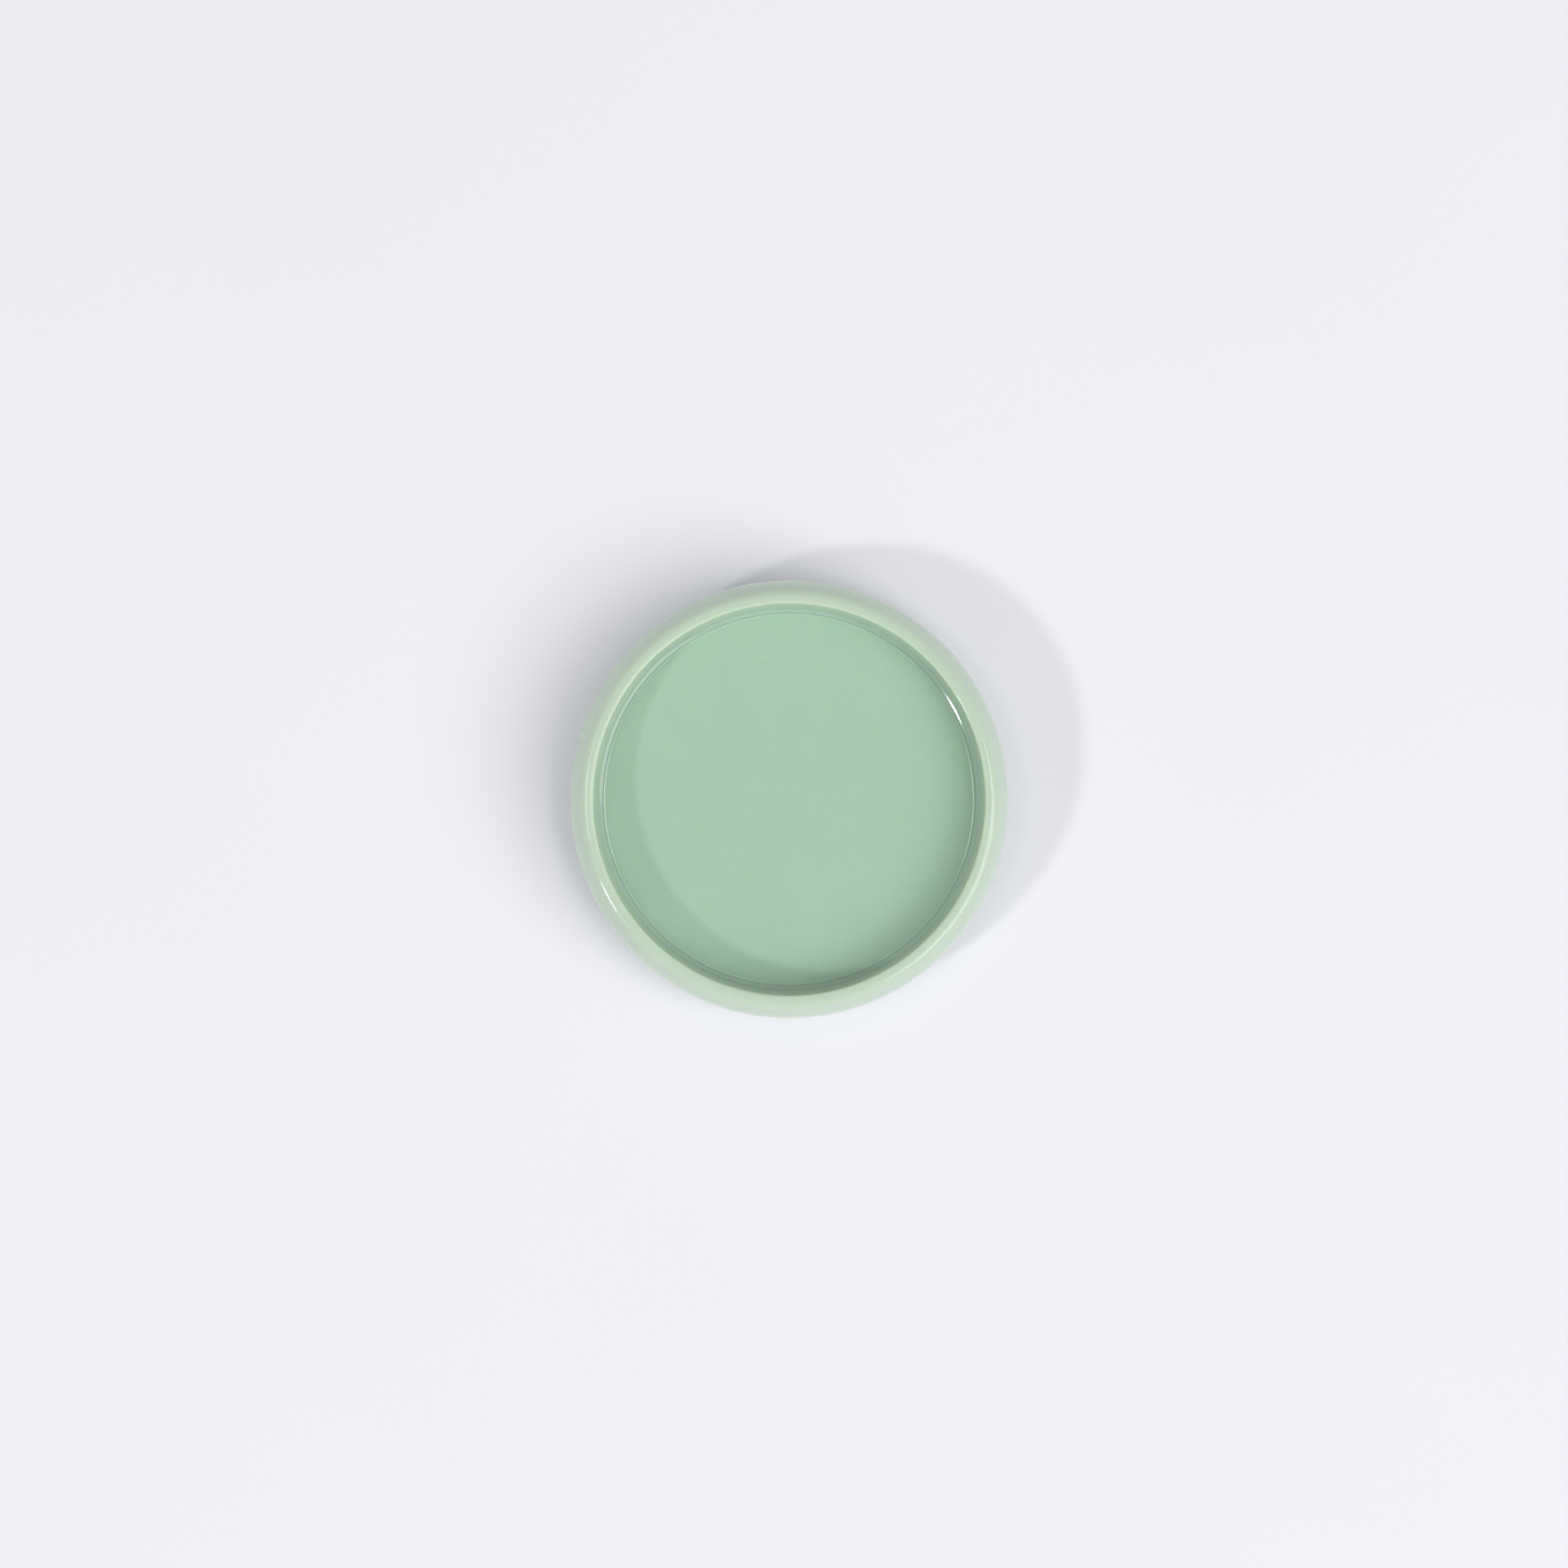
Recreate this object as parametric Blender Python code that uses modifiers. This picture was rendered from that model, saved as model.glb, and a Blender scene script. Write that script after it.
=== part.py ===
"""Pocket-size round wet palette, closed: a tray with a water-holding sponge and palette paper, and a press-on lid.

The lid's rounded rim stands around a recessed top, which is the dry mixing well. A silicone ring in the lid's
channel seals on the tray's neck, and four silicone pads carry the tray. The frame's origin is at the middle of
the pads' undersides, with +Z up along the palette's axis. All lengths are in metres.
"""

from math import asin, cos, degrees, pi, radians, sin, tan

import bpy

MM = 0.001

# Driving dimensions
OUTER_R = 38.0 * MM            # lid and tray, outside
HEIGHT = 18.0 * MM             # table to the crest of the rim
GAP = 0.3 * MM                 # clearance between pieces
EDGE_R = 0.4 * MM              # small rounding on moulded edges

WELL_DEPTH = 7.6 * MM          # crest of the rim to the recessed top
WELL_FLOOR_R = 32.4 * MM       # flat part of the recessed top
WELL_COVE_R = 0.8 * MM         # cove at the foot of the well's wall
WELL_DRAFT = 3.0               # the well's wall leans outwards by this many degrees
LIP_R = 0.45 * MM              # rounding between the well's wall and the crest
CREST_W = 0.5 * MM             # flat crest of the rim
CREST_EDGE_R = 1.6 * MM        # rounding on the crest's outer edge
DOME_START = 35.0              # where it meets the dome, in degrees above the dome's widest line
LID_T = 1.2 * MM               # thickness of the lid
PARTING_Z = 6.5 * MM           # lower edge of the lid's skirt
CHANNEL_Z = 16.0 * MM          # roof of the channel between the well's wall and the skirt
UNDER_R = 1.5 * MM             # rounding under the foot of the well's wall

TRAY_Z = 0.8 * MM              # underside of the tray above the table
TRAY_FLOOR_T = 1.5 * MM
TRAY_BOTTOM_R = 2.4 * MM       # rounding round the tray's lower edge
TRAY_COVE_R = 1.0 * MM         # cove inside the tray
NECK_IN_R = 34.9 * MM          # inside of the tray's wall and neck
NECK_T = 1.3 * MM
NECK_TOP_Z = 12.9 * MM
NECK_EDGE_R = 0.25 * MM
BEAD_Z = 10.3 * MM             # middle of the snap bead on the neck
BEAD_OUT = 0.3 * MM            # how far the bead stands out

SEAL_W = 0.9 * MM              # width and height of the silicone ring, and its chamfer
SEAL_T = 1.2 * MM
SEAL_CHAMFER = 0.3 * MM
SPONGE_T = 4.6 * MM
SPONGE_R = 34.3 * MM
SPONGE_EDGE_R = 0.5 * MM
PAPER_T = 0.2 * MM
PAPER_R = 33.7 * MM

PAD_R = 3.9 * MM
PAD_H = 1.4 * MM
PAD_CIRCLE_R = 28.0 * MM       # the pads' centres lie on this circle
PAD_COUNT = 4
PAD_EDGE_R = 0.35 * MM

TURN_STEPS = 72                # facets round the large turned pieces
PAD_STEPS = 24                 # facets round a pad and its socket

# Levels and radii that follow from them
WELL_Z = HEIGHT - WELL_DEPTH
PANEL_UNDER_Z = WELL_Z - LID_T
NECK_OUT_R = NECK_IN_R + NECK_T
SHOULDER_Z = PARTING_Z - GAP
TRAY_FLOOR_Z = TRAY_Z + TRAY_FLOOR_T
SPONGE_Z = TRAY_FLOOR_Z + GAP
SPONGE_TOP_Z = SPONGE_Z + SPONGE_T
PAPER_Z = SPONGE_TOP_Z + GAP
SEAL_Z = NECK_TOP_Z + GAP

MINT = (0.43, 0.61, 0.47, 1.0)
MILKY = (0.72, 0.78, 0.74, 1.0)
SPONGE_YELLOW = (0.78, 0.62, 0.24, 1.0)
PAPER_WHITE = (0.82, 0.82, 0.78, 1.0)


def remove_everything():
    for thing in list(bpy.data.objects):
        bpy.data.objects.remove(thing, do_unlink=True)


def new_collection(name):
    collection = bpy.data.collections.new(name)
    bpy.context.scene.collection.children.link(collection)
    return collection


def new_material(name, colour, roughness, metallic=0.0):
    material = bpy.data.materials.new(name)
    material.use_nodes = True
    shader = material.node_tree.nodes["Principled BSDF"]
    shader.inputs["Base Color"].default_value = colour
    shader.inputs["Roughness"].default_value = roughness
    shader.inputs["Metallic"].default_value = metallic
    material.diffuse_color = colour
    return material


def arc(centre_r, centre_z, radius, start, end, steps):
    """Points of a profile along an arc, both ends included, with its angles in degrees from +X."""
    angles = [radians(start + (end - start) * i / steps) for i in range(steps + 1)]
    return [(centre_r + radius * cos(a), centre_z + radius * sin(a)) for a in angles]


def turned(name, profile, material, collection, steps=TURN_STEPS, ring=False):
    """A body turned about +Z from a profile of (radius, height) points that runs down its outer side."""
    points = [(r, 0.0, z) for r, z in profile]
    edges = [(i, i + 1) for i in range(len(points) - 1)]
    if ring:
        edges.append((len(points) - 1, 0))
    mesh = bpy.data.meshes.new(name)
    mesh.from_pydata(points, edges, [])
    mesh.materials.append(material)
    body = bpy.data.objects.new(name, mesh)
    collection.objects.link(body)
    screw = body.modifiers.new("Turn", "SCREW")
    screw.angle = 2 * pi
    screw.steps = steps
    screw.render_steps = steps
    screw.use_merge_vertices = True
    screw.merge_threshold = 0.01 * MM
    screw.use_smooth_shade = True
    return body


def well_section():
    """The well from the middle of its floor to the outer edge of the rim's crest."""
    cove = arc(WELL_FLOOR_R, WELL_Z + WELL_COVE_R, WELL_COVE_R, -90, -WELL_DRAFT, 4)
    foot_r, foot_z = cove[-1]
    lean = radians(WELL_DRAFT)
    lip_z = HEIGHT - LIP_R
    wall_top_r = foot_r + (lip_z + LIP_R * sin(lean) - foot_z) * tan(lean)
    lip = arc(wall_top_r + LIP_R * cos(lean), lip_z, LIP_R, 180 - WELL_DRAFT, 90, 2)
    return [(0.0, WELL_Z)] + cove + lip


def lid_profile():
    """The lid's half section, from the middle of the recessed top, over the rim and back under the panel."""
    well = well_section()
    crest_edge_r = well[-1][0] + CREST_W
    crest_edge = arc(crest_edge_r, HEIGHT - CREST_EDGE_R, CREST_EDGE_R, 90, DOME_START, 3)
    start_r, start_z = crest_edge[-1]
    dome_r = (OUTER_R - start_r) / (1 - cos(radians(DOME_START)))
    dome_centre_r = OUTER_R - dome_r
    dome_z = start_z - dome_r * sin(radians(DOME_START))
    dome = arc(dome_centre_r, dome_z, dome_r, DOME_START, 0, 5)
    skirt_edge = arc(OUTER_R - EDGE_R, PARTING_Z + EDGE_R, EDGE_R, 0, -90, 2)
    skirt_in_r = OUTER_R - LID_T
    inner_dome_r = dome_r - LID_T
    roof_angle = degrees(asin((CHANNEL_Z - dome_z) / inner_dome_r))
    inner_dome = arc(dome_centre_r, dome_z, inner_dome_r, 0, roof_angle, 3)
    lean = tan(radians(WELL_DRAFT))
    channel_in_r = NECK_IN_R - GAP
    under_z = PANEL_UNDER_Z + UNDER_R
    under_r = channel_in_r - (CHANNEL_Z - under_z) * lean - UNDER_R
    under = arc(under_r, under_z, UNDER_R, 0, -90, 3)
    return (
        well
        + crest_edge
        + dome[1:]
        + skirt_edge
        + [(skirt_in_r + GAP, PARTING_Z), (skirt_in_r, PARTING_Z + GAP)]
        + inner_dome
        + [(channel_in_r, CHANNEL_Z)]
        + under
        + [(0.0, PANEL_UNDER_Z)]
    )


def tray_profile():
    """The tray's half section, from the middle of its floor, over the neck and shoulder and back under it."""
    cove = arc(NECK_IN_R - TRAY_COVE_R, TRAY_FLOOR_Z + TRAY_COVE_R, TRAY_COVE_R, -90, 0, 3)
    edge_z = NECK_TOP_Z - NECK_EDGE_R
    neck_in = arc(NECK_IN_R + NECK_EDGE_R, edge_z, NECK_EDGE_R, 180, 90, 1)
    neck_out = arc(NECK_OUT_R - NECK_EDGE_R, edge_z, NECK_EDGE_R, 90, 0, 1)
    bead = [(NECK_OUT_R, BEAD_Z + 2 * BEAD_OUT), (NECK_OUT_R + BEAD_OUT, BEAD_Z + BEAD_OUT / 2)]
    bead += [(r, 2 * BEAD_Z - z) for r, z in reversed(bead)]
    shoulder_edge = arc(OUTER_R - EDGE_R, SHOULDER_Z - EDGE_R, EDGE_R, 90, 0, 2)
    bottom = arc(OUTER_R - TRAY_BOTTOM_R, TRAY_Z + TRAY_BOTTOM_R, TRAY_BOTTOM_R, 0, -90, 4)
    return (
        [(0.0, TRAY_FLOOR_Z)]
        + cove
        + neck_in
        + neck_out
        + bead
        + [(NECK_OUT_R, SHOULDER_Z)]
        + shoulder_edge
        + bottom
        + [(0.0, TRAY_Z)]
    )


def disc_profile(radius, low, high, edge):
    """The half section of a disc with rounded edges."""
    top = arc(radius - edge, high - edge, edge, 90, 0, 2)
    bottom = arc(radius - edge, low + edge, edge, 0, -90, 2)
    return [(0.0, high)] + top + bottom + [(0.0, low)]


def seal_profile():
    """The silicone ring's section: a small bar with chamfered corners."""
    inner, outer, cut = NECK_IN_R, NECK_IN_R + SEAL_W, SEAL_CHAMFER
    top, bottom = SEAL_Z + SEAL_T, SEAL_Z
    return [
        (outer - cut, top),
        (outer, top - cut),
        (outer, bottom + cut),
        (outer - cut, bottom),
        (inner + cut, bottom),
        (inner, bottom + cut),
        (inner, top - cut),
        (inner + cut, top),
    ]


def pad_places():
    """The centres of the foot pads, evenly spaced from 45 degrees."""
    angles = [pi / 4 + 2 * pi * i / PAD_COUNT for i in range(PAD_COUNT)]
    return [(PAD_CIRCLE_R * cos(a), PAD_CIRCLE_R * sin(a)) for a in angles]


def make_tray(material, collection, cutters):
    tray = turned("base_tray", tray_profile(), material, collection)
    socket_r = PAD_R + GAP
    socket_top = PAD_H + GAP
    below = TRAY_Z - 1.0 * MM
    for i, (x, y) in enumerate(pad_places(), 1):
        bpy.ops.mesh.primitive_cylinder_add(
            vertices=PAD_STEPS,
            radius=socket_r,
            depth=socket_top - below,
            location=(x, y, (socket_top + below) / 2),
        )
        cutter = bpy.context.object
        cutter.name = f"socket_cutter_{i}"
        for owner in list(cutter.users_collection):
            owner.objects.unlink(cutter)
        cutters.objects.link(cutter)
        cutter.hide_render = True
        cutter.display_type = "WIRE"
        cut = tray.modifiers.new(f"Socket {i}", "BOOLEAN")
        cut.operation = "DIFFERENCE"
        cut.solver = "EXACT"
        cut.object = cutter
    return tray


def make_pads(material, collection, parent):
    profile = disc_profile(PAD_R, 0.0, PAD_H, PAD_EDGE_R)
    for i, (x, y) in enumerate(pad_places(), 1):
        pad = turned(f"foot_pad_{i}", profile, material, collection, PAD_STEPS)
        pad.location = (x, y, 0.0)
        pad.parent = parent


def main():
    remove_everything()
    palette = new_collection("round_wet_palette")
    cutters = new_collection("cutters")
    mint = new_material("mint plastic", MINT, 0.16)
    silicone = new_material("silicone", MILKY, 0.5)
    sponge = new_material("cellulose sponge", SPONGE_YELLOW, 0.95)
    paper = new_material("palette paper", PAPER_WHITE, 0.7)

    tray_frame = bpy.data.objects.new("tray_frame", None)
    lid_frame = bpy.data.objects.new("lid_frame", None)
    for empty in (tray_frame, lid_frame):
        palette.objects.link(empty)

    tray = make_tray(mint, palette, cutters)
    tray.parent = tray_frame
    make_pads(silicone, palette, tray_frame)

    sponge_shape = disc_profile(SPONGE_R, SPONGE_Z, SPONGE_TOP_Z, SPONGE_EDGE_R)
    sponge_pad = turned("sponge_pad", sponge_shape, sponge, palette)
    sponge_pad.parent = tray_frame
    sheet = [(0.0, PAPER_Z + PAPER_T), (PAPER_R, PAPER_Z + PAPER_T), (PAPER_R, PAPER_Z), (0.0, PAPER_Z)]
    palette_paper = turned("palette_paper", sheet, paper, palette)
    palette_paper.parent = tray_frame

    seal = turned("lid_seal", seal_profile(), silicone, palette, ring=True)
    seal.parent = lid_frame
    lid = turned("lid", lid_profile(), mint, palette)
    lid.parent = lid_frame


main()
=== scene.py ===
"""The looks of the closed, pocket-size round wet palette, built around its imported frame.

Every piece is turned or shaped here at fine resolution, from its CAD node's box and from the sizes below. The
camera looks straight down on the lid. Lengths are in metres and angles in degrees.
"""

from math import asin, cos, degrees, pi, radians, sin, tan

import bmesh
import bpy
import numpy as np
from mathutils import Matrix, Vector, noise


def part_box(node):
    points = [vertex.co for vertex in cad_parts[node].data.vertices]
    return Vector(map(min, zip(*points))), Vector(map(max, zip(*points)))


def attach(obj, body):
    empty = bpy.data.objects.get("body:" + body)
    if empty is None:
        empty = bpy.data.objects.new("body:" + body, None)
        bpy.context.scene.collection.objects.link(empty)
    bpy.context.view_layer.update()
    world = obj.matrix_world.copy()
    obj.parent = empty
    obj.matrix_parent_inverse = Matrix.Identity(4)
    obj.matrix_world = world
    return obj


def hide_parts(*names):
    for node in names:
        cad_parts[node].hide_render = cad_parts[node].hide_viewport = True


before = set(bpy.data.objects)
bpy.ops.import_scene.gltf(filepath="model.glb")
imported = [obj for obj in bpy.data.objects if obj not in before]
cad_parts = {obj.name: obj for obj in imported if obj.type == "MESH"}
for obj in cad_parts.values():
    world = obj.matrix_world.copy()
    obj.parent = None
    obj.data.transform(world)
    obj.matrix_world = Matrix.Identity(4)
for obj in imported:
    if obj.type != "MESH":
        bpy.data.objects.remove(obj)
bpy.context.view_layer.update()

MM = 0.001


def low_z(node):
    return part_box(node)[0].z


def high_z(node):
    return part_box(node)[1].z


def outer_r(node):
    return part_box(node)[1].x


# Levels and radii read from the frame
OUTER_R = outer_r("lid")
HEIGHT = high_z("lid")
PARTING_Z = low_z("lid")
TRAY_Z = low_z("base_tray")
NECK_TOP_Z = high_z("base_tray")
SPONGE_R = outer_r("sponge_pad")
SPONGE_Z = low_z("sponge_pad")
SPONGE_TOP_Z = high_z("sponge_pad")
PAPER_R = outer_r("palette_paper")
PAPER_Z = low_z("palette_paper")
SEAL_OUT_R = outer_r("lid_seal")
SEAL_Z = low_z("lid_seal")
SEAL_TOP_Z = high_z("lid_seal")
PAD_H = high_z("foot_pad_1")

# Sizes that the CAD has too
GAP = 0.3 * MM                 # clearance between pieces
EDGE_R = 0.4 * MM              # small rounding on moulded edges
WELL_DEPTH = 7.6 * MM          # crest of the rim to the recessed top
LIP_R = 0.45 * MM              # rounding between the well's wall and the crest
CREST_EDGE_R = 1.6 * MM        # rounding on the crest's outer edge
DOME_START = 35.0              # where that meets the dome, above the dome's widest line
LID_T = 1.2 * MM
CHANNEL_Z = 16.0 * MM          # roof of the channel between the well's wall and the skirt
UNDER_R = 1.5 * MM             # rounding under the foot of the well's wall
TRAY_FLOOR_T = 1.5 * MM
TRAY_BOTTOM_R = 2.4 * MM
TRAY_COVE_R = 1.0 * MM
NECK_IN_R = 34.9 * MM
NECK_T = 1.3 * MM
NECK_EDGE_R = 0.25 * MM
BEAD_Z = 10.3 * MM             # middle of the snap bead on the neck
BEAD_OUT = 0.3 * MM
SEAL_W = 0.9 * MM
SPONGE_EDGE_R = 0.5 * MM
PAD_R = 3.9 * MM
PAD_EDGE_R = 0.35 * MM
PAD_COUNT = 4
WELL_Z = HEIGHT - WELL_DEPTH
PANEL_UNDER_Z = WELL_Z - LID_T
NECK_OUT_R = NECK_IN_R + NECK_T
SHOULDER_Z = PARTING_Z - GAP
TRAY_FLOOR_Z = TRAY_Z + TRAY_FLOOR_T

# Sizes that are finer here than in the CAD
CREASE_R = 32.13 * MM          # a fine raised line round the well's floor
CREASE_W = 0.4 * MM
CREASE_H = 0.04 * MM
GROOVE_R = 32.37 * MM          # the fine groove just outside it
GROOVE_W = 0.12 * MM
GROOVE_D = 0.03 * MM
RAMP_R = 5.0 * MM              # the foot of the well's wall is a shallow ramp, hollowed to this radius
RAMP_START = 23.0              # its slope next to the groove
RAMP_END = 29.0                # its slope next to the wall, into which it turns sharply
CORNER_R = 0.3 * MM            # rounding of that turn
WELL_DRAFT = 3.5               # the wall leans outwards by this
CREST_OUT_R = 34.48 * MM       # where the flat crest of the rim ends
CHANNEL_FILLET = 0.3 * MM
CHANNEL_FILLET_TURN = 2.0      # how much of the inner dome the channel's outer fillet takes
GATE_R = 0.9 * MM              # the moulding gate's witness mark, under the lid's panel and the tray
GATE_H = 0.12 * MM
SEAL_EDGE_R = 0.28 * MM
SEAL_LIP_TURN = 170            # how far each of the ring's two lips is rounded
PAD_GROOVES = (0.68, 0.4)      # shares of the pad's radius at which its grooves run
PAD_GROOVE_W = 0.5 * MM
PAD_GROOVE_D = 0.16 * MM
SHARP_ANGLE = 40.0             # the tray's edges are shaded as sharp above this

# How finely the pieces are divided
LID_STEPS = 384
TRAY_STEPS = 360
PAD_STEPS = 96
SPONGE_GRID = 150
SPONGE_ROWS = 10
PAPER_GRID = 120
SUPPORT_NEAR = 0.04 * MM       # a long stretch of a profile gets points this close to its ends
SUPPORT_LONG = 0.5 * MM        # and this is when a stretch is long
SEAL_SUPPORT_LONG = 0.2 * MM
WELD = 0.0005 * MM

# The sponge's skin and pores
PORE_D = 0.85 * MM             # depth of the deepest pores
# Large and small pores: size of a cell, share of the depth, and where in it a pore's side starts and ends
PORE_SIZES = (
    (2.9 * MM, 1.0, 0.40, 0.16),
    (1.2 * MM, 0.55, 0.42, 0.15),
)
PORE_WARP = 0.5 * MM           # how far the pores are bent out of round
PORE_WARP_SCALE = 420.0
PORE_PICK_SCALE = 3.7          # parts the pores' middles in the noise, so that each has its own size
SKIN_D = 0.12 * MM             # depth of the skin's roughness
SKIN_SCALE = 900.0
BASE_SHARE = 0.985             # the underside's share of the sponge's width

# The membrane paper's ripples and lifted edge
PAPER_T = 0.09 * MM
PAPER_LIE = 0.02 * MM          # how far over its CAD solid's underside it starts
WAVE_H = 0.16 * MM
CRINKLE_H = 0.02 * MM
CURL_H = 0.22 * MM
CURL_START = 0.86              # share of the radius at which the edge starts to lift
CURL_WAVES = 5                 # how often the edge rises and falls on its way round


# ---- profiles ----

def arc(centre_r, centre_z, radius, start, end, steps):
    """Points of a profile along an arc, both ends included, with its angles from +X."""
    angles = [radians(start + (end - start) * i / steps) for i in range(steps + 1)]
    return [(centre_r + radius * cos(a), centre_z + radius * sin(a)) for a in angles]


def ripple(middle, width, height, level, steps):
    """Points of a smooth raised line across the profile, or of a groove where the height is negative."""
    points = []
    for i in range(steps + 1):
        t = i / steps - 0.5
        points.append((middle + t * width, level + height * cos(pi * t) ** 2))
    return points


def ridge(middle, width, height, level, steps):
    """Points of a low raised line with two straight slopes."""
    points = []
    for i in range(steps + 1):
        t = i / steps - 0.5
        points.append((middle + t * width, level + height * (1 - 2 * abs(t))))
    return points


def gate_mark(level, height):
    """A gate's witness mark from its edge to its middle: a low boss, or a dimple, with a rounded edge."""
    edge = [(GATE_R * across, level + height * up) for across, up in ((1.0, 0.0), (0.9, 0.7), (0.75, 1.0))]
    return edge + [(0.0, level + height)]


def supported(profile, near=SUPPORT_NEAR, long=SUPPORT_LONG, closed=False):
    """The profile with points close to both ends of its long stretches, which keeps them flat when shaded."""
    out = []
    count = len(profile)
    for i in range(count if closed else count - 1):
        a = np.array(profile[i])
        b = np.array(profile[(i + 1) % count])
        length = np.linalg.norm(b - a)
        out.append(tuple(a))
        if length > long:
            for t in (near / length, 1 - near / length):
                out.append(tuple(a + (b - a) * t))
    if not closed:
        out.append(profile[-1])
    return out


def well_section():
    """The well, from the middle of its floor over its fine crease, up the ramp and wall and over the lip."""
    crease = ridge(CREASE_R, CREASE_W, CREASE_H, WELL_Z, steps=10)
    groove = ripple(GROOVE_R, GROOVE_W, -GROOVE_D, WELL_Z, steps=8)
    start_r, start_z = groove[-1]
    slope = radians(RAMP_START)
    centre_r = start_r - RAMP_R * sin(slope)
    centre_z = start_z + RAMP_R * cos(slope)
    ramp = arc(centre_r, centre_z, RAMP_R, RAMP_START - 90, RAMP_END - 90, steps=8)
    end_r, end_z = ramp[-1]
    slope = radians(RAMP_END)
    corner_r = end_r - CORNER_R * sin(slope)
    corner_z = end_z + CORNER_R * cos(slope)
    corner = arc(corner_r, corner_z, CORNER_R, RAMP_END - 90, -WELL_DRAFT, steps=7)
    foot_r, foot_z = corner[-1]
    lean = radians(WELL_DRAFT)
    lip_z = HEIGHT - LIP_R
    wall_top_r = foot_r + (lip_z + LIP_R * sin(lean) - foot_z) * tan(lean)
    lip = arc(wall_top_r + LIP_R * cos(lean), lip_z, LIP_R, 180 - WELL_DRAFT, 90, steps=12)
    return [(0.0, WELL_Z)] + crease + groove + ramp[1:] + corner[1:] + lip


def lid_profile():
    """The lid's half section, from the middle of the recessed top, over the rim and back under the panel."""
    crest_edge = arc(CREST_OUT_R, HEIGHT - CREST_EDGE_R, CREST_EDGE_R, 90, DOME_START, steps=10)
    start_r, start_z = crest_edge[-1]
    dome_r = (OUTER_R - start_r) / (1 - cos(radians(DOME_START)))
    dome_centre_r = OUTER_R - dome_r
    dome_z = start_z - dome_r * sin(radians(DOME_START))
    dome = arc(dome_centre_r, dome_z, dome_r, DOME_START, 0, steps=24)
    skirt_edge = arc(OUTER_R - EDGE_R, PARTING_Z + EDGE_R, EDGE_R, 0, -90, steps=8)
    skirt_in_r = OUTER_R - LID_T
    lead_in = arc(skirt_in_r + GAP, PARTING_Z + GAP, GAP, -90, -180, steps=6)
    inner_r = dome_r - LID_T
    roof_angle = degrees(asin((CHANNEL_Z - dome_z) / inner_r))
    inner_dome = arc(dome_centre_r, dome_z, inner_r, 0, roof_angle - CHANNEL_FILLET_TURN, steps=14)
    roof_r = inner_dome[-1][0] - CHANNEL_FILLET
    channel_in_r = NECK_IN_R - GAP
    roof = [(roof_r, CHANNEL_Z), (channel_in_r + CHANNEL_FILLET, CHANNEL_Z)]
    roof += [(channel_in_r, CHANNEL_Z - CHANNEL_FILLET)]
    lean = tan(radians(WELL_DRAFT))
    under_z = PANEL_UNDER_Z + UNDER_R
    under_r = channel_in_r - (CHANNEL_Z - under_z) * lean - UNDER_R
    under = arc(under_r, under_z, UNDER_R, 0, -90, steps=12)
    gate = gate_mark(PANEL_UNDER_Z, -GATE_H)
    outside = well_section() + crest_edge + dome[1:] + skirt_edge
    return supported(outside + lead_in + inner_dome + roof + under + gate)


def bead_section(steps=10):
    """(height, how far it stands out) down the neck's snap bead."""
    half = 2 * BEAD_OUT
    rows = [1 - 2 * i / steps for i in range(steps + 1)]
    return [(BEAD_Z + half * t, BEAD_OUT * cos(pi * t / 2) ** 2) for t in rows]


def tray_profile():
    """The tray's half section, from the middle of its floor, over the neck and shoulder and back under it."""
    cove = arc(NECK_IN_R - TRAY_COVE_R, TRAY_FLOOR_Z + TRAY_COVE_R, TRAY_COVE_R, -90, 0, steps=12)
    edge_z = NECK_TOP_Z - NECK_EDGE_R
    neck_in = arc(NECK_IN_R + NECK_EDGE_R, edge_z, NECK_EDGE_R, 180, 90, steps=6)
    neck_out = arc(NECK_OUT_R - NECK_EDGE_R, edge_z, NECK_EDGE_R, 90, 0, steps=6)
    bead = [(NECK_OUT_R + out, z) for z, out in bead_section()]
    fillet = arc(NECK_OUT_R + GAP, SHOULDER_Z + GAP, GAP, 180, 270, steps=5)
    shoulder_edge = arc(OUTER_R - EDGE_R, SHOULDER_Z - EDGE_R, EDGE_R, 90, 0, steps=8)
    bottom = arc(OUTER_R - TRAY_BOTTOM_R, TRAY_Z + TRAY_BOTTOM_R, TRAY_BOTTOM_R, 0, -90, steps=16)
    gate = gate_mark(TRAY_Z, GATE_H)
    neck = cove + neck_in + neck_out + bead
    return supported([(0.0, TRAY_FLOOR_Z)] + neck + fillet + shoulder_edge + bottom + gate)


def seal_profile():
    """The silicone ring's section: a rounded bar with two soft lips underneath, over the neck."""
    inner = SEAL_OUT_R - SEAL_W
    lip = SEAL_W / 4
    top = SEAL_TOP_Z - SEAL_EDGE_R
    base = SEAL_Z + lip
    points = arc(inner + SEAL_EDGE_R, top, SEAL_EDGE_R, 180, 90, steps=6)
    points += arc(SEAL_OUT_R - SEAL_EDGE_R, top, SEAL_EDGE_R, 90, 0, steps=6)
    points += arc(SEAL_OUT_R - lip, base, lip, 0, -SEAL_LIP_TURN, steps=9)
    points += arc(inner + lip, base, lip, SEAL_LIP_TURN - 180, -180, steps=9)
    return supported(points, long=SEAL_SUPPORT_LONG, closed=True)


def pad_profile():
    """A foot pad's section: rounded edges, and two grooves in the face that grips the table."""
    top = arc(PAD_R - PAD_EDGE_R, PAD_H - PAD_EDGE_R, PAD_EDGE_R, 90, 0, steps=8)
    bottom = arc(PAD_R - PAD_EDGE_R, PAD_EDGE_R, PAD_EDGE_R, 0, -90, steps=8)
    grooves = []
    for share in PAD_GROOVES:
        grooves += reversed(ripple(PAD_R * share, PAD_GROOVE_W, PAD_GROOVE_D, 0.0, steps=8))
    return supported([(0.0, PAD_H)] + top + bottom + grooves + [(0.0, 0.0)])


# ---- moulded pieces ----

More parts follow.
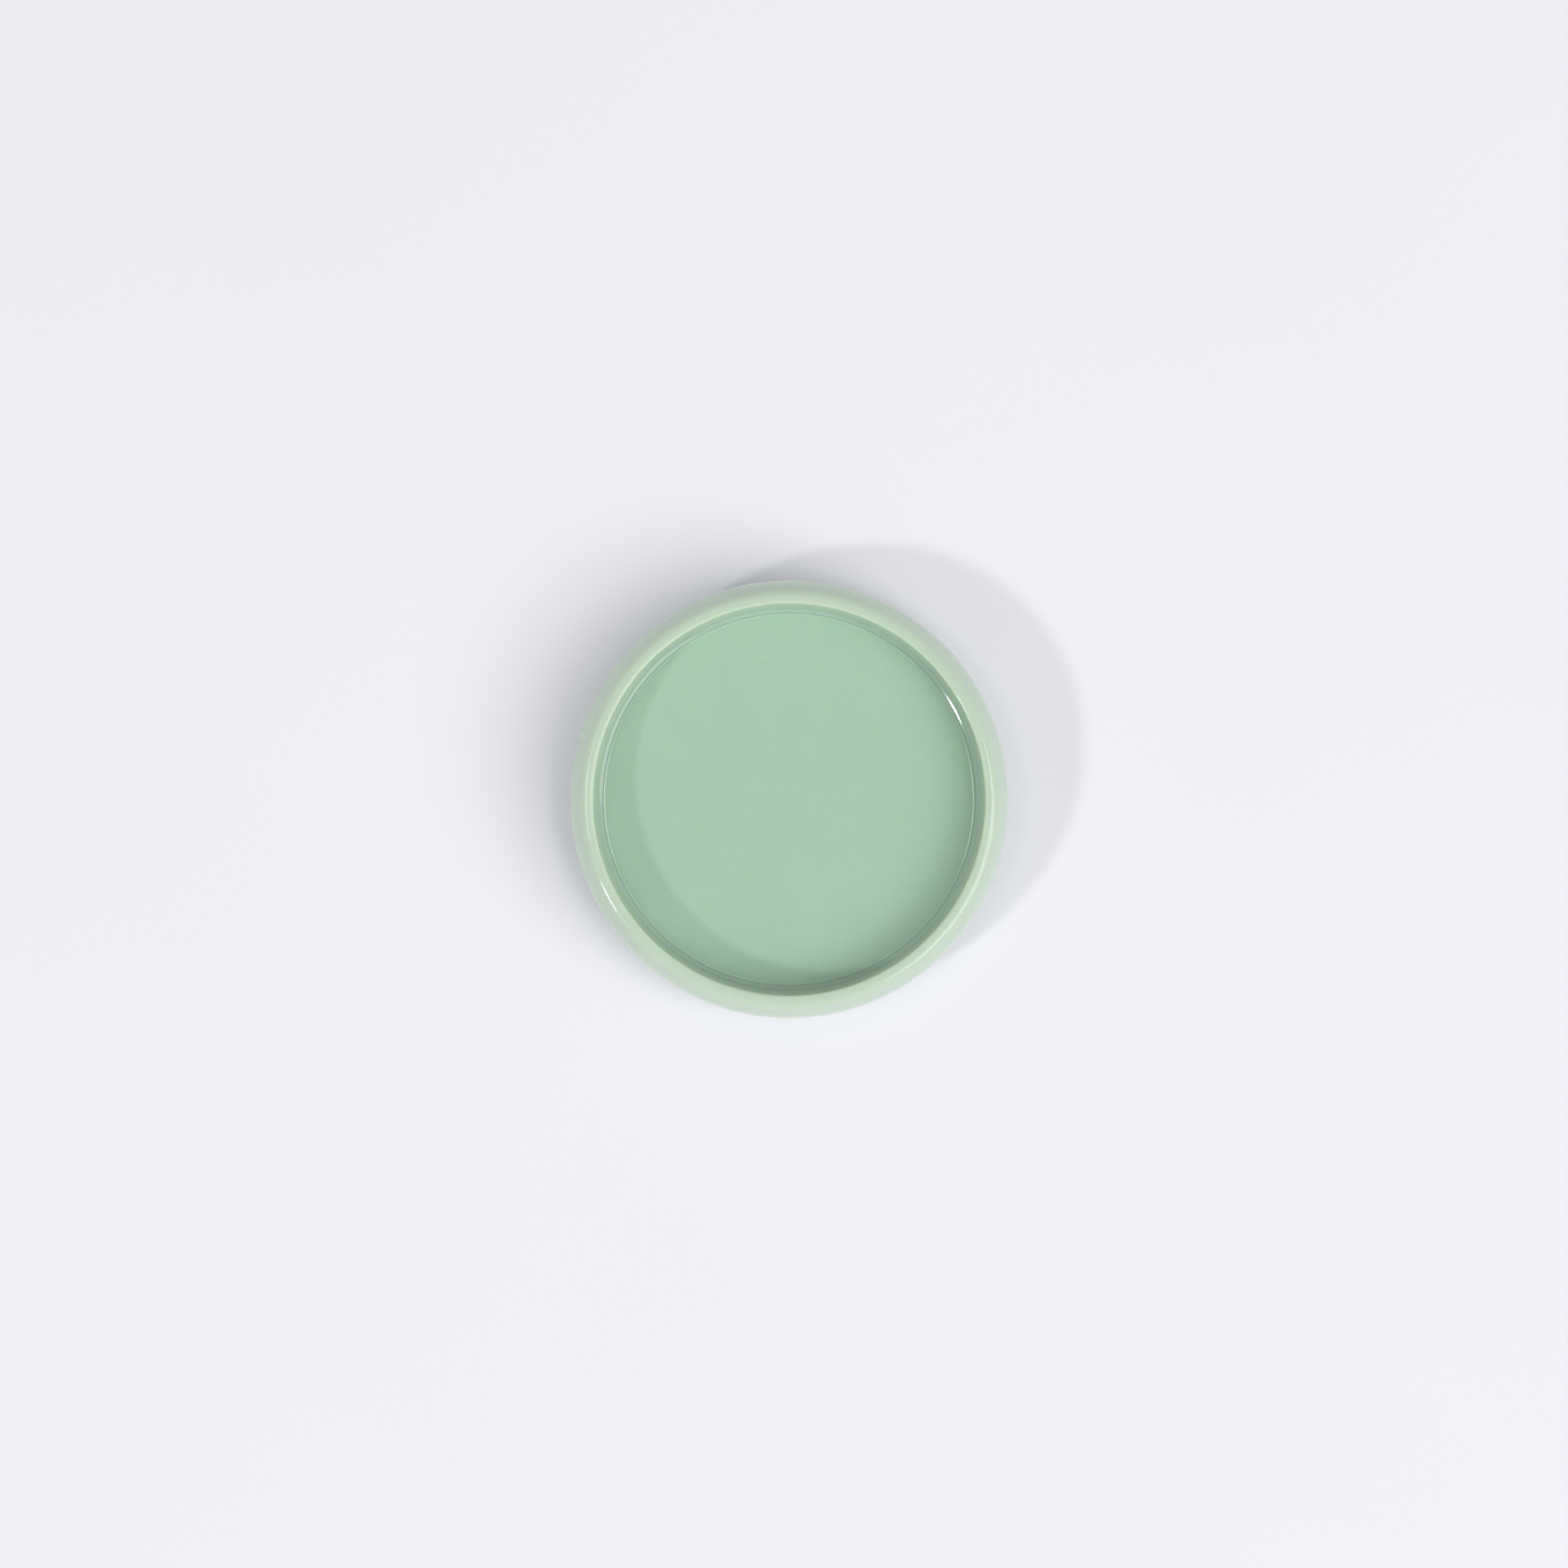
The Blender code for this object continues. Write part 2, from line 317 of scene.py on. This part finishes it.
def finished(name, mesh, material):
    """An object of that mesh, smooth, with one material."""
    mesh.materials.append(material)
    mesh.shade_smooth()
    piece = bpy.data.objects.new(name, mesh)
    bpy.context.scene.collection.objects.link(piece)
    return piece


def turned(name, profile, material, steps, ring=False, centre=(0.0, 0.0)):
    """A piece turned about a vertical axis from a profile of (radius, height) points."""
    mesh = bpy.data.meshes.new(name)
    shape = bmesh.new()
    points = [shape.verts.new((r, 0.0, z)) for r, z in profile]
    edges = [shape.edges.new((points[i], points[i + 1])) for i in range(len(points) - 1)]
    if ring:
        edges.append(shape.edges.new((points[-1], points[0])))
    bmesh.ops.spin(
        shape,
        geom=points + edges,
        cent=(0, 0, 0),
        axis=(0, 0, 1),
        angle=2 * pi,
        steps=steps,
        use_merge=True,
    )
    bmesh.ops.remove_doubles(shape, verts=shape.verts, dist=WELD)
    bmesh.ops.recalc_face_normals(shape, faces=shape.faces)
    bmesh.ops.translate(shape, verts=shape.verts, vec=(centre[0], centre[1], 0.0))
    shape.to_mesh(mesh)
    shape.free()
    return finished(name, mesh, material)


def pad_centre(node):
    low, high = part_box(node)
    return (low.x + high.x) / 2, (low.y + high.y) / 2


def cut_sockets(tray, centres):
    """Cuts the foot pads' round sockets into the tray's underside."""
    radius = PAD_R + GAP
    roof = PAD_H + GAP
    chamfer = EDGE_R / 2
    below = TRAY_Z - MM
    section = [(0.0, roof), (radius - chamfer, roof), (radius, roof - chamfer), (radius, below), (0.0, below)]
    for i, centre in enumerate(centres, 1):
        cutter = turned(f"socket_cutter_{i}", section, tray.data.materials[0], PAD_STEPS, centre=centre)
        cut = tray.modifiers.new(f"Socket {i}", "BOOLEAN")
        cut.operation = "DIFFERENCE"
        cut.solver = "EXACT"
        cut.object = cutter
        with bpy.context.temp_override(object=tray, active_object=tray):
            bpy.ops.object.modifier_apply(modifier=cut.name)
        bpy.data.objects.remove(cutter, do_unlink=True)
    tray.data.set_sharp_from_angle(angle=radians(SHARP_ANGLE))


# ---- sponge and paper ----

def disc_places(count):
    """The x and the y of an even grid of count x count squares, mapped on to the unit disc."""
    ticks = np.linspace(-1.0, 1.0, count + 1)
    a, b = np.meshgrid(ticks, ticks)
    wide = np.abs(a) > np.abs(b)
    tiny = 1e-9
    safe_a = np.where(np.abs(a) < tiny, tiny, a)
    safe_b = np.where(np.abs(b) < tiny, tiny, b)
    radius = np.where(wide, a, b)
    angle = np.where(wide, pi / 4 * b / safe_a, pi / 2 - pi / 4 * a / safe_b)
    return radius * np.cos(angle), radius * np.sin(angle)


def rim_order(count):
    """Indices of the grid's outer points, in order round it."""
    side = count + 1
    south = list(range(count))
    east = [count + side * j for j in range(count)]
    north = [side * count + count - i for i in range(count)]
    west = [side * (count - j) for j in range(count)]
    return south + east + north + west


def grid_faces(count, start=0, flip=False):
    """The grid's squares, as indices of their points from start on."""
    side = count + 1
    faces = []
    for j in range(count):
        for i in range(count):
            a = start + j * side + i
            face = (a, a + 1, a + side + 1, a + side)
            faces.append(face[::-1] if flip else face)
    return faces


def pore_depth(point):
    """How deep the sponge's pores reach at a point, from 0 to 1."""
    warped = point + PORE_WARP * noise.noise_vector(point * PORE_WARP_SCALE)
    deep = 0.0
    for cell, share, start, end in PORE_SIZES:
        near, places = noise.voronoi(warped / cell)
        grown = 0.65 + 0.6 * noise.cell(places[0] * PORE_PICK_SCALE)
        t = (start * grown - near[0]) / ((start - end) * grown)
        deep = max(deep, share * min(1.0, max(0.0, t)))
    return deep * deep * (3 - 2 * deep)


def sponge_top():
    """Points of the sponge's top and rounded edge, and the way that its skin faces."""
    x, y = disc_places(SPONGE_GRID)
    flat_r = SPONGE_R - SPONGE_EDGE_R
    along = np.hypot(x, y) * (flat_r + SPONGE_EDGE_R * pi / 2)
    turn = np.clip((along - flat_r) / SPONGE_EDGE_R, 0.0, pi / 2)
    radius = np.minimum(along, flat_r) + SPONGE_EDGE_R * np.sin(turn)
    height = SPONGE_TOP_Z - SPONGE_EDGE_R * (1 - np.cos(turn))
    angle = np.arctan2(y, x)
    points = np.stack([radius * np.cos(angle), radius * np.sin(angle), height], -1)
    facing = np.stack([np.sin(turn) * np.cos(angle), np.sin(turn) * np.sin(angle), np.cos(turn)], -1)
    return points.reshape(-1, 3), facing.reshape(-1, 3)


def sponge_side(top_ring):
    """Points of the sponge's side, in rings under the top's outer one, and the way that its skin faces."""
    levels = np.linspace(SPONGE_TOP_Z - SPONGE_EDGE_R, SPONGE_Z + SPONGE_EDGE_R, SPONGE_ROWS + 1)
    points = []
    for level in levels[1:]:
        ring = top_ring.copy()
        ring[:, 2] = level
        points.append(ring)
    points = np.concatenate(points)
    facing = np.stack([points[:, 0], points[:, 1], 0 * points[:, 0]], -1) / SPONGE_R
    return points, facing


def make_sponge(material):
    """The sponge: a thick disc whose top and side are open with real pores."""
    top, top_facing = sponge_top()
    rim = rim_order(SPONGE_GRID)
    around = len(rim)
    side, side_facing = sponge_side(top[rim])
    points = np.concatenate([top, side])
    facing = np.concatenate([top_facing, side_facing])
    depth = np.array([pore_depth(Vector(p)) for p in points])
    rough = np.array([noise.fractal(Vector(p) * SKIN_SCALE, 0.7, 2.0, 3) for p in points])
    sunk = SKIN_D * (0.6 + 0.5 * rough) + PORE_D * depth
    points = points - facing * sunk[:, None]

    faces = grid_faces(SPONGE_GRID)
    rings = [rim]
    for row in range(SPONGE_ROWS):
        first = len(top) + row * around
        rings.append(list(range(first, first + around)))
    for upper, lower in zip(rings, rings[1:]):
        for i in range(around):
            j = (i + 1) % around
            faces.append((upper[i], lower[i], lower[j], upper[j]))
    lowest = rings[-1]
    below = [(p[0] * BASE_SHARE, p[1] * BASE_SHARE, SPONGE_Z) for p in points[lowest]]
    base = len(points)
    points = np.concatenate([points, below, [(0.0, 0.0, SPONGE_Z)]])
    for i in range(around):
        j = (i + 1) % around
        faces.append((lowest[i], base + i, base + j, lowest[j]))
        faces.append((base + i, base + around, base + j))
    mesh = bpy.data.meshes.new("sponge")
    mesh.from_pydata(points.tolist(), [], faces)
    mesh.validate()
    stored = mesh.attributes.new("pore", "FLOAT", "POINT")
    values = np.concatenate([depth, np.zeros(around + 1)]).astype(np.float32)
    stored.data.foreach_set("value", values)
    return finished("sponge", mesh, material)


def paper_noise(places, scale_x, scale_y, layer):
    """Noise at each (x, y) of the paper, from about -1 to 1, with its own scale either way."""
    return np.array([noise.noise(Vector((p[0] * scale_x, p[1] * scale_y, layer))) for p in places])


def make_paper(material):
    """The membrane paper: a thin round sheet on the wet sponge, with slight ripples and a lifted edge."""
    x, y = (grid.ravel() for grid in disc_places(PAPER_GRID))
    flat = np.stack([x * PAPER_R, y * PAPER_R], -1)
    waves = paper_noise(flat, 75.0, 110.0, 3.0)
    crinkles = paper_noise(flat, 260.0, 260.0, 7.0)
    lift = WAVE_H * np.clip(waves + 0.2, 0.0, 1.0) + CRINKLE_H * crinkles
    edge = np.clip((np.hypot(x, y) - CURL_START) / (1 - CURL_START), 0.0, 1.0)
    lift += CURL_H * edge**2 * (0.6 + 0.4 * np.sin(CURL_WAVES * np.arctan2(y, x)))
    lower = np.stack([flat[:, 0], flat[:, 1], PAPER_Z + PAPER_LIE + lift], -1)
    upper = lower + np.array([0.0, 0.0, PAPER_T])
    size = len(lower)
    faces = grid_faces(PAPER_GRID) + grid_faces(PAPER_GRID, size, True)
    rim = rim_order(PAPER_GRID)
    for i, a in enumerate(rim):
        b = rim[(i + 1) % len(rim)]
        faces.append((a, a + size, b + size, b))
    mesh = bpy.data.meshes.new("membrane_paper")
    mesh.from_pydata(np.concatenate([upper, lower]).tolist(), [], faces)
    mesh.validate()
    return finished("membrane_paper", mesh, material)


# ---- materials ----

# The moulded plastic's colours, some with painted shade and painted light in them, and what lies on it
MINT_DEEP = (0.46, 0.63, 0.495, 1.0)
MINT_PALE = (0.48, 0.65, 0.515, 1.0)
# The next two are painted shade at the foot of the well's wall and painted light at its top
MINT_FOOT_PAINTED_SHADE = (0.53, 0.665, 0.52, 1.0)
MINT_WALL_PAINTED_LIGHT = (0.605, 0.74, 0.59, 1.0)
# Painted light: the rim drawn paler than the floor, standing in for reflection on it and light through it
MINT_RIM_PAINTED_LIGHT = (0.572, 0.7, 0.582, 1.0)
DUST = (0.86, 0.93, 0.88, 1.0)
GRIT = (0.25, 0.2, 0.15, 1.0)
LINT = (0.22, 0.28, 0.22, 1.0)

# Where those colours start to change, and where the change ends
WALL_FROM_R = (32.4 * MM, 33.0 * MM)
RIM_FROM_R = (33.3 * MM, 34.2 * MM)
ABOVE_BASE_Z = (TRAY_Z + 1.0 * MM, TRAY_Z + 4.0 * MM)
UP_WALL_Z = (WELL_Z + 0.3 * MM, HEIGHT - 2.0 * MM)
# how far from the crease its painted highlight is full, and where it fades out
PAINTED_GLINT_OFF_CREASE = (0.08 * MM, 0.17 * MM)
ABOVE_PANEL_Z = (WELL_Z - 0.5 * MM, WELL_Z - 0.3 * MM)
CREST_WEAR_Z = (HEIGHT - 0.5 * MM, HEIGHT - 0.02 * MM)
FLOW_CORE_R = 4.0 * MM         # the flow marks round the gate are blurred within about this radius

SILICONE_DEEP = (0.64, 0.71, 0.67, 1.0)
SILICONE_PALE = (0.76, 0.82, 0.78, 1.0)
SILICONE_LINT = (0.45, 0.43, 0.4, 1.0)
SPONGE_DEEP = (0.72, 0.56, 0.2, 1.0)
SPONGE_PALE = (0.84, 0.7, 0.34, 1.0)
SPONGE_CELLS = (0.52, 0.36, 0.1, 1.0)
# painted shade in the sponge's pores
SPONGE_PORES_PAINTED_SHADE = (0.3, 0.18, 0.05, 1.0)
PAPER_DRY = (0.85, 0.84, 0.78, 1.0)
PAPER_DAMP = (0.8, 0.785, 0.705, 1.0)
PAPER_FIBRES = (0.93, 0.93, 0.9, 1.0)
TABLE_DEEP = (0.888, 0.88, 0.936, 1.0)
TABLE_PALE = (0.903, 0.895, 0.947, 1.0)


class Nodes:
    """A material's node tree, with short ways to add and link nodes."""

    def __init__(self, name):
        self.material = bpy.data.materials.new(name)
        self.material.use_nodes = True
        self.tree = self.material.node_tree
        self.shader = self.tree.nodes["Principled BSDF"]
        self.place = self.add("ShaderNodeTexCoord").outputs["Object"]

    def add(self, kind, **settings):
        node = self.tree.nodes.new(kind)
        for key, value in settings.items():
            setattr(node, key, value)
        return node

    def link(self, source, target):
        """Links a socket, or sets the target to a constant."""
        if isinstance(source, (int, float, tuple)):
            target.default_value = source
        else:
            self.tree.links.new(source, target)

    def set(self, **values):
        """Constant values on the shader's own sockets, with _ for a space."""
        for key, value in values.items():
            self.shader.inputs[key.replace("_", " ")].default_value = value

    def translucent(self, weight, colour_reach, scale):
        """Light spreads under the skin, with red, green and blue reaching those shares of the scale."""
        self.set(Subsurface_Weight=weight, Subsurface_Radius=colour_reach, Subsurface_Scale=scale)

    def math(self, operation, a, b=0.0):
        node = self.add("ShaderNodeMath", operation=operation)
        self.link(a, node.inputs[0])
        self.link(b, node.inputs[1])
        return node.outputs[0]

    def times(self, a, b):
        return self.math("MULTIPLY", a, b)

    def plus(self, a, b):
        return self.math("ADD", a, b)

    def between(self, value, low, high, to_low=0.0, to_high=1.0):
        """A smooth step from to_low to to_high, while the value goes from low to high."""
        node = self.add("ShaderNodeMapRange", interpolation_type="SMOOTHSTEP")
        self.link(value, node.inputs["Value"])
        for key, number in zip(("From Min", "From Max", "To Min", "To Max"), (low, high, to_low, to_high)):
            node.inputs[key].default_value = number
        return node.outputs["Result"]

    def close_to(self, value, middle, full, none):
        """1 where the value is within full of the middle, falling to 0 where it is none away from it."""
        away = self.math("ABSOLUTE", self.math("SUBTRACT", value, middle))
        return self.between(away, full, none, 1.0, 0.0)

    def mix(self, share, a, b):
        """Colour a, changed to colour b by that share."""
        node = self.add("ShaderNodeMix", data_type="RGBA")
        self.link(share, node.inputs["Factor"])
        self.link(a, node.inputs[6])
        self.link(b, node.inputs[7])
        return node.outputs[2]

    def noise(self, scale, detail=2.0, roughness=0.5, vector=None):
        node = self.add("ShaderNodeTexNoise")
        self.link(vector or self.place, node.inputs["Vector"])
        node.inputs["Scale"].default_value = scale
        node.inputs["Detail"].default_value = detail
        node.inputs["Roughness"].default_value = roughness
        return node.outputs["Fac"]

    def drift(self, scale, detail, low, high):
        """A value that drifts from place to place between low and high."""
        return self.between(self.noise(scale, detail), 0.3, 0.7, low, high)

    def stretched(self, scale, turn):
        """The place, scaled unevenly and turned about +Z, for grain that runs one way."""
        node = self.add("ShaderNodeMapping")
        self.link(self.place, node.inputs["Vector"])
        node.inputs["Scale"].default_value = scale
        node.inputs["Rotation"].default_value = (0.0, 0.0, radians(turn))
        return node.outputs["Vector"]

    def scratches(self, scale, turn):
        """Patches of fine straight hairlines, as 0 to 1."""
        lines = self.noise(1.0, 1.0, vector=self.stretched(scale, turn))
        patch = self.between(self.noise(70.0), 0.5, 0.62)
        return self.times(self.close_to(lines, 0.5, full=0.0, none=0.0015), patch)

    def fibres(self, scale, turn):
        """Fine fibres that run one way, as 0 to 1."""
        return self.between(self.noise(1.0, vector=self.stretched(scale, turn)), 0.58, 0.7)

    def specks(self, scale, size, share):
        """Small separate dots, such as dust, as 0 to 1, in that share of the scale's cells."""
        cells = self.add("ShaderNodeTexVoronoi")
        self.link(self.place, cells.inputs["Vector"])
        cells.inputs["Scale"].default_value = scale
        dot = self.between(cells.outputs["Distance"], size * 0.5, size, 1.0, 0.0)
        pick = self.add("ShaderNodeSeparateColor")
        self.link(cells.outputs["Color"], pick.inputs["Color"])
        return self.times(dot, self.between(pick.outputs[0], 1 - share, 1 - share + 0.01))

    def bump(self, height, distance, normal=None):
        node = self.add("ShaderNodeBump")
        node.inputs["Strength"].default_value = 1.0
        node.inputs["Distance"].default_value = distance
        self.link(height, node.inputs["Height"])
        if normal is not None:
            self.link(normal, node.inputs["Normal"])
        return node.outputs["Normal"]

    def finish(self, colour, roughness, normal):
        self.link(colour, self.shader.inputs["Base Color"])
        self.link(roughness, self.shader.inputs["Roughness"])
        self.link(normal, self.shader.inputs["Normal"])
        return self.material


def flow_tone(n, x, y, radius):
    """The mould's flow marks, as 0 to 1: soft clouds, and streaks that run out from the gate."""
    flow = n.add("ShaderNodeCombineXYZ")
    spread = n.plus(radius, FLOW_CORE_R)
    n.link(n.math("DIVIDE", x, spread), flow.inputs["X"])
    n.link(n.math("DIVIDE", y, spread), flow.inputs["Y"])
    n.link(n.times(radius, 18.0), flow.inputs["Z"])
    streaks = n.noise(3.2, 3.0, 0.55, vector=flow.outputs["Vector"])
    clouds = n.noise(38.0, 3.0)
    return n.between(n.plus(n.times(streaks, 0.5), n.times(clouds, 0.5)), 0.3, 0.7)


def mint_colour(n):
    """The clean plastic's colour, deeper on the well's floor than on wall and rim, with painted shade at the
    wall's foot, painted light up the wall and on the rim, a painted highlight on the crease, and the crest's
    wear.
    """
    place = n.add("ShaderNodeSeparateXYZ")
    n.link(n.place, place.inputs["Vector"])
    x, y, z = (place.outputs[axis] for axis in "XYZ")
    radius = n.math("SQRT", n.plus(n.times(x, x), n.times(y, y)))
    colour = n.mix(flow_tone(n, x, y, radius), MINT_DEEP, MINT_PALE)
    upper = n.between(z, *ABOVE_BASE_Z)
    # Painted shade at the foot of the well's wall, changing to painted light towards its top
    wall = n.mix(n.between(z, *UP_WALL_Z), MINT_FOOT_PAINTED_SHADE, MINT_WALL_PAINTED_LIGHT)
    colour = n.mix(n.times(n.between(radius, *WALL_FROM_R), upper), colour, wall)
    # Painted light: the rim and the wall's top paler than the floor
    colour = n.mix(n.times(n.between(radius, *RIM_FROM_R), upper), colour, MINT_RIM_PAINTED_LIGHT)
    # A painted highlight: a thin pale line along the crease, in the rim's painted-light colour
    crease = n.times(n.close_to(radius, CREASE_R, *PAINTED_GLINT_OFF_CREASE), n.between(z, *ABOVE_PANEL_Z))
    colour = n.mix(n.times(crease, 0.7), colour, MINT_RIM_PAINTED_LIGHT)
    wear = n.times(n.between(z, *CREST_WEAR_Z), n.between(n.noise(700.0, 4.0, 0.6), 0.48, 0.75))
    return colour, wear


def mint_plastic():
    """Glossy, slightly translucent mint-green plastic with flow marks, hairlines, wear, dust and lint, and
    painted shade and light on the well's wall, rim and crease.
    """
    n = Nodes("mint_plastic")
    colour, wear = mint_colour(n)
    dust = n.specks(260.0, 0.035, 0.35)
    grit = n.specks(190.0, 0.028, 0.2)
    lint = n.times(n.close_to(n.noise(420.0, 0.0), 0.5, full=0.0, none=0.02), n.specks(110.0, 0.11, 0.9))
    colour = n.mix(n.times(dust, 0.5), colour, DUST)
    colour = n.mix(n.times(grit, 0.45), colour, GRIT)
    colour = n.mix(n.times(lint, 0.3), colour, LINT)
    hairs_one_way = n.scratches((45.0, 1900.0, 45.0), 24.0)
    hairs_other_way = n.scratches((40.0, 1600.0, 40.0), -51.0)
    hairs = n.math("MAXIMUM", hairs_one_way, hairs_other_way)
    rough = n.plus(n.drift(120.0, 3.0, 0.07, 0.1), n.times(hairs, 0.06))
    rough = n.plus(rough, n.times(n.plus(wear, dust), 0.12))
    normal = n.bump(n.noise(420.0, 1.0), 0.002 * MM)
    normal = n.bump(n.times(hairs, -1.0), 0.0008 * MM, normal)
    n.translucent(0.85, (1.0, 0.8, 0.35), 2.0 * MM)
    n.set(IOR=1.49)
    return n.finish(colour, rough, normal)


def milky_silicone():
    """Soft translucent silicone with a satin skin, fine grain and a little lint."""
    n = Nodes("milky_silicone")
    colour = n.mix(n.noise(180.0, 3.0), SILICONE_DEEP, SILICONE_PALE)
    colour = n.mix(n.times(n.specks(900.0, 0.1, 0.12), 0.5), colour, SILICONE_LINT)
    normal = n.bump(n.noise(5200.0), 0.008 * MM)
    n.translucent(0.8, (1.0, 0.9, 0.8), 0.9 * MM)
    n.set(IOR=1.41)
    return n.finish(colour, n.drift(700.0, 3.0, 0.38, 0.55), normal)


def cellulose_sponge():
    """Damp cellulose with fine cell walls, darker and more saturated deeper in its pores as painted shade."""
    n = Nodes("cellulose_sponge")
    pore = n.add("ShaderNodeAttribute", attribute_name="pore").outputs["Fac"]
    colour = n.mix(n.noise(140.0, 4.0, 0.6), SPONGE_DEEP, SPONGE_PALE)
    colour = n.mix(n.between(n.noise(1900.0, 3.0), 0.45, 0.75), colour, SPONGE_CELLS)
    # Painted shade: darker the deeper the pore
    colour = n.mix(n.between(pore, 0.05, 0.9, 0.0, 0.75), colour, SPONGE_PORES_PAINTED_SHADE)
    normal = n.bump(n.noise(2600.0, 4.0, 0.7), 0.12 * MM)
    n.translucent(0.3, (1.0, 0.7, 0.3), 1.0 * MM)
    n.set(Sheen_Weight=0.15)
    return n.finish(colour, n.drift(500.0, 2.0, 0.6, 0.9), normal)


def membrane_paper():
    """Thin damp palette paper with fibres, through which the sponge shows a little."""
    n = Nodes("membrane_paper")
    fibres_one_way = n.fibres((260.0, 2400.0, 260.0), 32.0)
    fibres_other_way = n.fibres((300.0, 2600.0, 300.0), -40.0)
    fibres = n.math("MAXIMUM", fibres_one_way, fibres_other_way)
    damp = n.between(n.noise(95.0, 3.0), 0.42, 0.62)
    colour = n.mix(damp, PAPER_DRY, PAPER_DAMP)
    colour = n.mix(n.times(fibres, 0.3), colour, PAPER_FIBRES)
    rough = n.between(damp, 0.0, 1.0, 0.62, 0.4)
    normal = n.bump(fibres, 0.02 * MM, n.bump(n.noise(1500.0, 4.0), 0.02 * MM))
    n.set(Alpha=0.88)
    return n.finish(colour, rough, normal)


def floor_paper():
    """The plain pale table."""
    n = Nodes("table_white")
    colour = n.mix(n.noise(14.0), TABLE_DEEP, TABLE_PALE)
    n.set(Specular_IOR_Level=0.15)
    return n.finish(colour, 0.75, n.bump(n.noise(900.0), 0.004 * MM))


# ---- the palette ----

mint = mint_plastic()
silicone = milky_silicone()

lid = turned("lid_moulding", lid_profile(), mint, LID_STEPS)
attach(lid, "lid")
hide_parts("lid")

seal = turned("seal_ring", seal_profile(), silicone, TRAY_STEPS, ring=True)
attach(seal, "seal")
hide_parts("lid_seal")

pad_nodes = [f"foot_pad_{i}" for i in range(1, PAD_COUNT + 1)]
tray = turned("tray_moulding", tray_profile(), mint, TRAY_STEPS)
cut_sockets(tray, [pad_centre(node) for node in pad_nodes])
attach(tray, "tray")
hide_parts("base_tray")

for i, node in enumerate(pad_nodes, 1):
    pad = turned(f"grip_pad_{i}", pad_profile(), silicone, PAD_STEPS, centre=pad_centre(node))
    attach(pad, "tray")
    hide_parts(node)

sponge = make_sponge(cellulose_sponge())
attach(sponge, "tray")
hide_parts("sponge_pad")

paper = make_paper(membrane_paper())
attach(paper, "tray")
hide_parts("palette_paper")


# ---- table, light and camera ----

FLOOR_R = 4.0
FLOOR_SIDES = 96
SKY = (1.0, 1.0, 1.0, 1.0)
SKY_STRENGTH = 0.43
LIGHT_DISTANCE = 2.5
KEY_AZIMUTH = 331.0            # the large soft light, from the lower right of the picture
KEY_ELEVATION = 48.0
KEY_SIZE = 2.0
KEY_POWER = 30.2
SPOT_AZIMUTH = 209.0           # the small hard light, from the lower left
SPOT_ELEVATION = 43.0
SPOT_SIZE = 0.26
SPOT_POWER = 12.2
RIGHT_AZIMUTH = 0.0            # two small lights, high on either side, that glint on the crest and the crease
LEFT_AZIMUTH = 180.0
GLINT_ELEVATION = 72.0
GLINT_SIZE = 0.5
GLINT_POWER = 3.0
CAMERA_HEIGHT = 0.450
CAMERA_X = -0.000875
CAMERA_Y = 0.00265
LENS = 58.14                   # lens and sensor in millimetres
SENSOR = 36.0


def make_floor():
    bpy.ops.mesh.primitive_circle_add(
        vertices=FLOOR_SIDES,
        radius=FLOOR_R,
        fill_type="NGON",
        location=(0, 0, 0),
    )
    floor = bpy.context.object
    floor.name = "table"
    floor.data.materials.append(floor_paper())


def add_light(name, azimuth, elevation, size, power):
    """A round area light that faces the palette, seen from it at that azimuth from +X and elevation."""
    lamp = bpy.data.lights.new(name, "AREA")
    lamp.shape = "DISK"
    lamp.size = size
    lamp.energy = power
    light = bpy.data.objects.new(name, lamp)
    a = radians(azimuth)
    e = radians(elevation)
    toward = Vector((cos(a) * cos(e), sin(a) * cos(e), sin(e)))
    light.location = toward * LIGHT_DISTANCE
    light.rotation_euler = toward.to_track_quat("Z", "Y").to_euler()
    bpy.context.scene.collection.objects.link(light)


def make_world():
    world = bpy.data.worlds.new("studio")
    world.use_nodes = True
    sky = world.node_tree.nodes["Background"]
    sky.inputs["Color"].default_value = SKY
    sky.inputs["Strength"].default_value = SKY_STRENGTH
    bpy.context.scene.world = world


def make_camera():
    data = bpy.data.cameras.new("camera")
    data.lens = LENS
    data.sensor_width = SENSOR
    camera = bpy.data.objects.new("camera", data)
    camera.location = (CAMERA_X, CAMERA_Y, CAMERA_HEIGHT)
    bpy.context.scene.collection.objects.link(camera)
    bpy.context.scene.camera = camera


make_floor()
add_light("key", KEY_AZIMUTH, KEY_ELEVATION, KEY_SIZE, KEY_POWER)
add_light("spot", SPOT_AZIMUTH, SPOT_ELEVATION, SPOT_SIZE, SPOT_POWER)
add_light("right_glint", RIGHT_AZIMUTH, GLINT_ELEVATION, GLINT_SIZE, GLINT_POWER)
add_light("left_glint", LEFT_AZIMUTH, GLINT_ELEVATION, GLINT_SIZE, GLINT_POWER)
make_world()
make_camera()
bpy.context.scene.view_settings.view_transform = "Standard"
